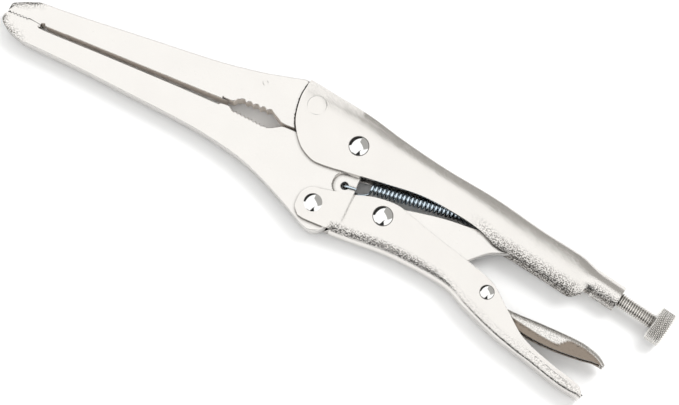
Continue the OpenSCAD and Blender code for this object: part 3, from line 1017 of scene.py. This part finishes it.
class Nodes:
    """Short calls for building a node tree."""

    def __init__(self, owner):
        owner.use_nodes = True
        self.tree = owner.node_tree
        self.links = self.tree.links

    def node(self, kind, **values):
        n = self.tree.nodes.new(kind)
        for key, value in values.items():
            setattr(n, key, value)
        return n

    def put(self, socket, value):
        if isinstance(value, bpy.types.NodeSocket):
            self.links.new(value, socket)
        else:
            socket.default_value = value

    def math(self, operation, *values):
        n = self.node("ShaderNodeMath", operation=operation)
        for socket, value in zip(n.inputs, values):
            self.put(socket, value)
        return n.outputs[0]

    def window(self, value, low, high, out_low=0.0, out_high=1.0):
        """Soft step from low to high."""
        n = self.node("ShaderNodeMapRange", interpolation_type="SMOOTHSTEP")
        for key, v in (("Value", value), ("From Min", low), ("From Max", high),
                       ("To Min", out_low), ("To Max", out_high)):
            self.put(n.inputs[key], v)
        return n.outputs[0]

    def blend(self, factor, a, b):
        n = self.node("ShaderNodeMix", data_type="RGBA")
        for key, v in ((0, factor), (6, a), (7, b)):
            self.put(n.inputs[key], v)
        return n.outputs[2]

    def noise(self, vector, scale, detail=2.0, roughness=0.5):
        n = self.node("ShaderNodeTexNoise")
        self.put(n.inputs["Vector"], vector)
        self.put(n.inputs["Scale"], scale)
        self.put(n.inputs["Detail"], detail)
        self.put(n.inputs["Roughness"], roughness)
        return n.outputs["Fac"]

    def bump(self, height_at, distance_m, strength=1.0, normal=None):
        n = self.node("ShaderNodeBump")
        self.put(n.inputs["Height"], height_at)
        self.put(n.inputs["Distance"], distance_m)
        self.put(n.inputs["Strength"], strength)
        if normal is not None:
            self.put(n.inputs["Normal"], normal)
        return n.outputs[0]


# The first three tones are painted light on the plating: dark specks in the bent orange peel that
# paint its dark reflections, painted shade on the release lever's lower flank, and painted shade
# in corners and creases, which the occlusion finds within the reach below.
STIPPLE_SHADE_TONE = (0.1, 0.09, 0.08, 1)
FLANK_SHADE_TONE = (0.24, 0.2, 0.165, 1)
CREASE_SHADE_TONE = (0.06, 0.05, 0.04, 1)
CREASE_SHADE_REACH = 2.8e-3
PEEL_SCALE = 1450.0
BENT_PEEL = 4.5e-4


def plated(name, tone, rough, peel, wave=1.5e-4, crease_shade=1.0, metal=1.0):
    """Nickel plating: broad tone changes, an orange peel that is deeper where the sheet is bent,
    with dark specks there that are painted dark reflection, painted shade where the flank is
    marked, slow waves left by pressing, and painted shade in the corners and creases."""
    m = bpy.data.materials.new(name)
    n = Nodes(m)
    shader = n.tree.nodes["Principled BSDF"]
    where = n.node("ShaderNodeTexCoord").outputs["Object"]
    bend_and_shade = n.node("ShaderNodeAttribute", attribute_name="bend_and_shade").outputs["Fac"]
    corner = n.node("ShaderNodeAmbientOcclusion", samples=6)
    corner.inputs["Distance"].default_value = CREASE_SHADE_REACH
    lumps = n.noise(where, 1900.0, 1.0, 0.4)
    broad = n.noise(where, 60.0, 3.0)
    fine = n.noise(where, 1500.0, 2.0, 0.6)
    low, high = (tuple(c * k for c in tone) + (1,) for k in (0.93, 1.03))
    colour = n.blend(n.math("ADD", n.math("MULTIPLY", broad, 0.6),
                            n.math("MULTIPLY", lumps, 0.4)), low, high)
    peel_noise = n.noise(where, PEEL_SCALE, 1.0, 0.4)
    # Dark specks in the bent orange peel: painted dark reflection.
    stipple_shade = n.math("MULTIPLY", n.window(peel_noise, 0.4, 0.56, 0.9, 0.0), bend_and_shade)
    colour = n.blend(stipple_shade, colour, STIPPLE_SHADE_TONE)
    # Painted shade where the release lever's lower flank is marked.
    flank_shade = n.node("ShaderNodeAttribute", attribute_name="flank_shade").outputs["Fac"]
    colour = n.blend(flank_shade, colour, FLANK_SHADE_TONE)
    # Painted shade: the colour darkens where the occlusion finds a corner or crease close by.
    crease_shade_mix = n.window(corner.outputs["AO"], 0.4, 0.78, crease_shade, 0.0)
    n.put(shader.inputs["Base Color"], n.blend(crease_shade_mix, colour, CREASE_SHADE_TONE))
    shader.inputs["Metallic"].default_value = metal
    n.put(shader.inputs["Roughness"], n.window(fine, 0.25, 0.75, rough - 0.04, rough + 0.06))
    waves = n.bump(n.noise(where, 130.0, 2.0), wave)
    n.put(shader.inputs["Normal"], n.bump(peel_noise, n.math("MULTIPLY", bend_and_shade, BENT_PEEL), 1.0,
                                          n.bump(lumps, peel, 1.0, waves)))
    return m


# Painted shade: a dark finish for the sheets' inner faces and the rivets' rims, where little light
# reaches.
SHADED_INSIDE = plated("painted_shade_inside", (0.2, 0.19, 0.18), 0.45, 5e-5)
MACHINED = plated("machined_edge", (0.7, 0.64, 0.58), 0.4, 2e-5, crease_shade=0.35, metal=0.15)
# For each material slot, the outer finish and the one on faces with the second material index:
# painted shade on the sheets' inner faces and the rivets' rims, and a matte finish on the jaws'
# walls in the slot
FINISH = {
    "plated_sheet": (plated("nickel_sheet", (0.725, 0.703, 0.676), 0.2, 7e-5), SHADED_INSIDE),
    "plated_forging": (plated("nickel_forging", (0.735, 0.715, 0.69), 0.22, 4e-5), MACHINED),
    "rivet": (plated("polished_rivet", (0.82, 0.82, 0.81), 0.06, 1e-6, 1e-6), SHADED_INSIDE),
    "screw": (plated("nickel_screw", (0.86, 0.84, 0.81), 0.16, 2e-6, 1e-6, 0.75), SHADED_INSIDE),
    "spring": (plated("blued_spring", (0.62, 0.72, 0.8), 0.14, 1e-6, 1e-6), SHADED_INSIDE),
}
for obj, body, slot in built:
    marked = [face.material_index for face in obj.data.polygons]
    obj.data.materials.clear()
    for finish in FINISH[slot]:
        obj.data.materials.append(finish)
    obj.data.polygons.foreach_set("material_index", marked)
    if body == "blend":
        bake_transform(obj)
    else:
        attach(obj, body)


# ---------------------------------------------------------------- stage, light and camera

def floor():
    """Plain white paper under the tool."""
    size = 3.0
    mesh = bpy.data.meshes.new("paper")
    mesh.from_pydata([(-size, -size, 0), (size, -size, 0), (size, size, 0), (-size, size, 0)],
                     [], [(0, 1, 2, 3)])
    o = bpy.data.objects.new("paper", mesh)
    bpy.context.collection.objects.link(o)
    m = bpy.data.materials.new("paper")
    n = Nodes(m)
    shader = n.tree.nodes["Principled BSDF"]
    where = n.node("ShaderNodeTexCoord").outputs["Object"]
    n.put(shader.inputs["Base Color"],
          n.blend(n.noise(where, 30.0), (0.93, 0.93, 0.93, 1), (0.95, 0.95, 0.95, 1)))
    shader.inputs["Roughness"].default_value = 0.7
    shader.inputs["Specular IOR Level"].default_value = 0.1
    mesh.materials.append(m)
    o.location.z = -0.0001


def lamp(name, at, size, power):
    """A soft round lamp that shines on the tool and isn't mirrored in it."""
    data = bpy.data.lights.new(name, "AREA")
    data.shape = "DISK"
    data.size = size
    data.energy = power
    o = bpy.data.objects.new(name, data)
    o.location = at
    o.rotation_euler = (-Vector(at)).to_track_quat("-Z", "Y").to_euler()
    o.visible_glossy = False
    bpy.context.collection.objects.link(o)


# Cards round the tool in place of a room, over white light from all sides. Each covers the
# directions on the positive side of all its planes through the tool, and has a softness of its
# edges and a colour.
CARDS = [
    # a grey wall to the right
    ([(0.66, 0.75, -0.501), (-0.497, 0.868, 0.491), (0.997, 0.0755, 0.089)], 0.015,
     (0.5, 0.49, 0.47)),
    # a dark corner at the upper left
    ([(-0.944, 0.33, -1.563), (-0.997, -0.0755, -0.089), (-0.068, 0.998, -0.004)], 0.015,
     (0.035, 0.034, 0.032)),
    # a dark gap below, with a slit that leads to it and a low card in front
    ([(0.95, -0.31, -0.379), (-0.869, -0.494, 0.057), (0.83, -0.56, -0.499)], 0.03,
     (0.03, 0.03, 0.03)),
    ([(0.83, -0.56, -0.499), (-0.83, 0.56, 0.58), (0.497, -0.868, -0.491), (0.0, 1.0, 0.62)],
     0.008, (0.05, 0.05, 0.05)),
    ([(0.829, -0.559, 0.0), (-0.848, -0.53, 0.0), (-0.046, -0.528, -0.848)], 0.06,
     (0.05, 0.05, 0.05)),
    # everything below the horizon
    ([(0.0, 0.0, -1.0)], 0.09, (0.16, 0.15, 0.14)),
]
OVERHEAD = (1.34, 1.34, 1.33)


def studio():
    """White light from all sides, with the cards in front of it."""
    world = bpy.data.worlds.new("studio")
    bpy.context.scene.world = world
    n = Nodes(world)
    toward = n.node("ShaderNodeTexCoord").outputs["Generated"]
    colour = (*OVERHEAD, 1)
    for planes, soft, tone in CARDS:
        cover = None
        for plane in planes:
            dot = n.node("ShaderNodeVectorMath", operation="DOT_PRODUCT")
            n.put(dot.inputs[0], toward)
            dot.inputs[1].default_value = Vector(plane).normalized()
            side = n.window(dot.outputs["Value"], -soft, soft)
            cover = side if cover is None else n.math("MULTIPLY", cover, side)
        colour = n.blend(cover, colour, (*tone, 1))
    background = n.tree.nodes["Background"]
    n.put(background.inputs["Color"], colour)


def camera():
    """The photo's viewpoint, one metre from the tool, as fitted to it."""
    right = Vector((0.9232, 0.3843, 0.0))
    up = Vector((-0.3745, 0.8996, 0.2250))
    back = Vector((0.0865, -0.2077, 0.9744))
    eye = Vector((9.9, -3.0, 10.2)) * MM + back
    data = bpy.data.cameras.new("camera")
    data.sensor_width = 36
    data.lens = 104.2
    data.clip_start = 0.01
    o = bpy.data.objects.new("camera", data)
    axes = Matrix((right, up, back)).transposed().to_4x4()
    o.matrix_world = Matrix.Translation(eye) @ axes
    bpy.context.collection.objects.link(o)
    bpy.context.scene.camera = o


floor()
studio()
lamp("key", (0.5, 0.6, 1.15), 0.6, 9.0)
camera()
bpy.context.scene.view_settings.view_transform = "Standard"
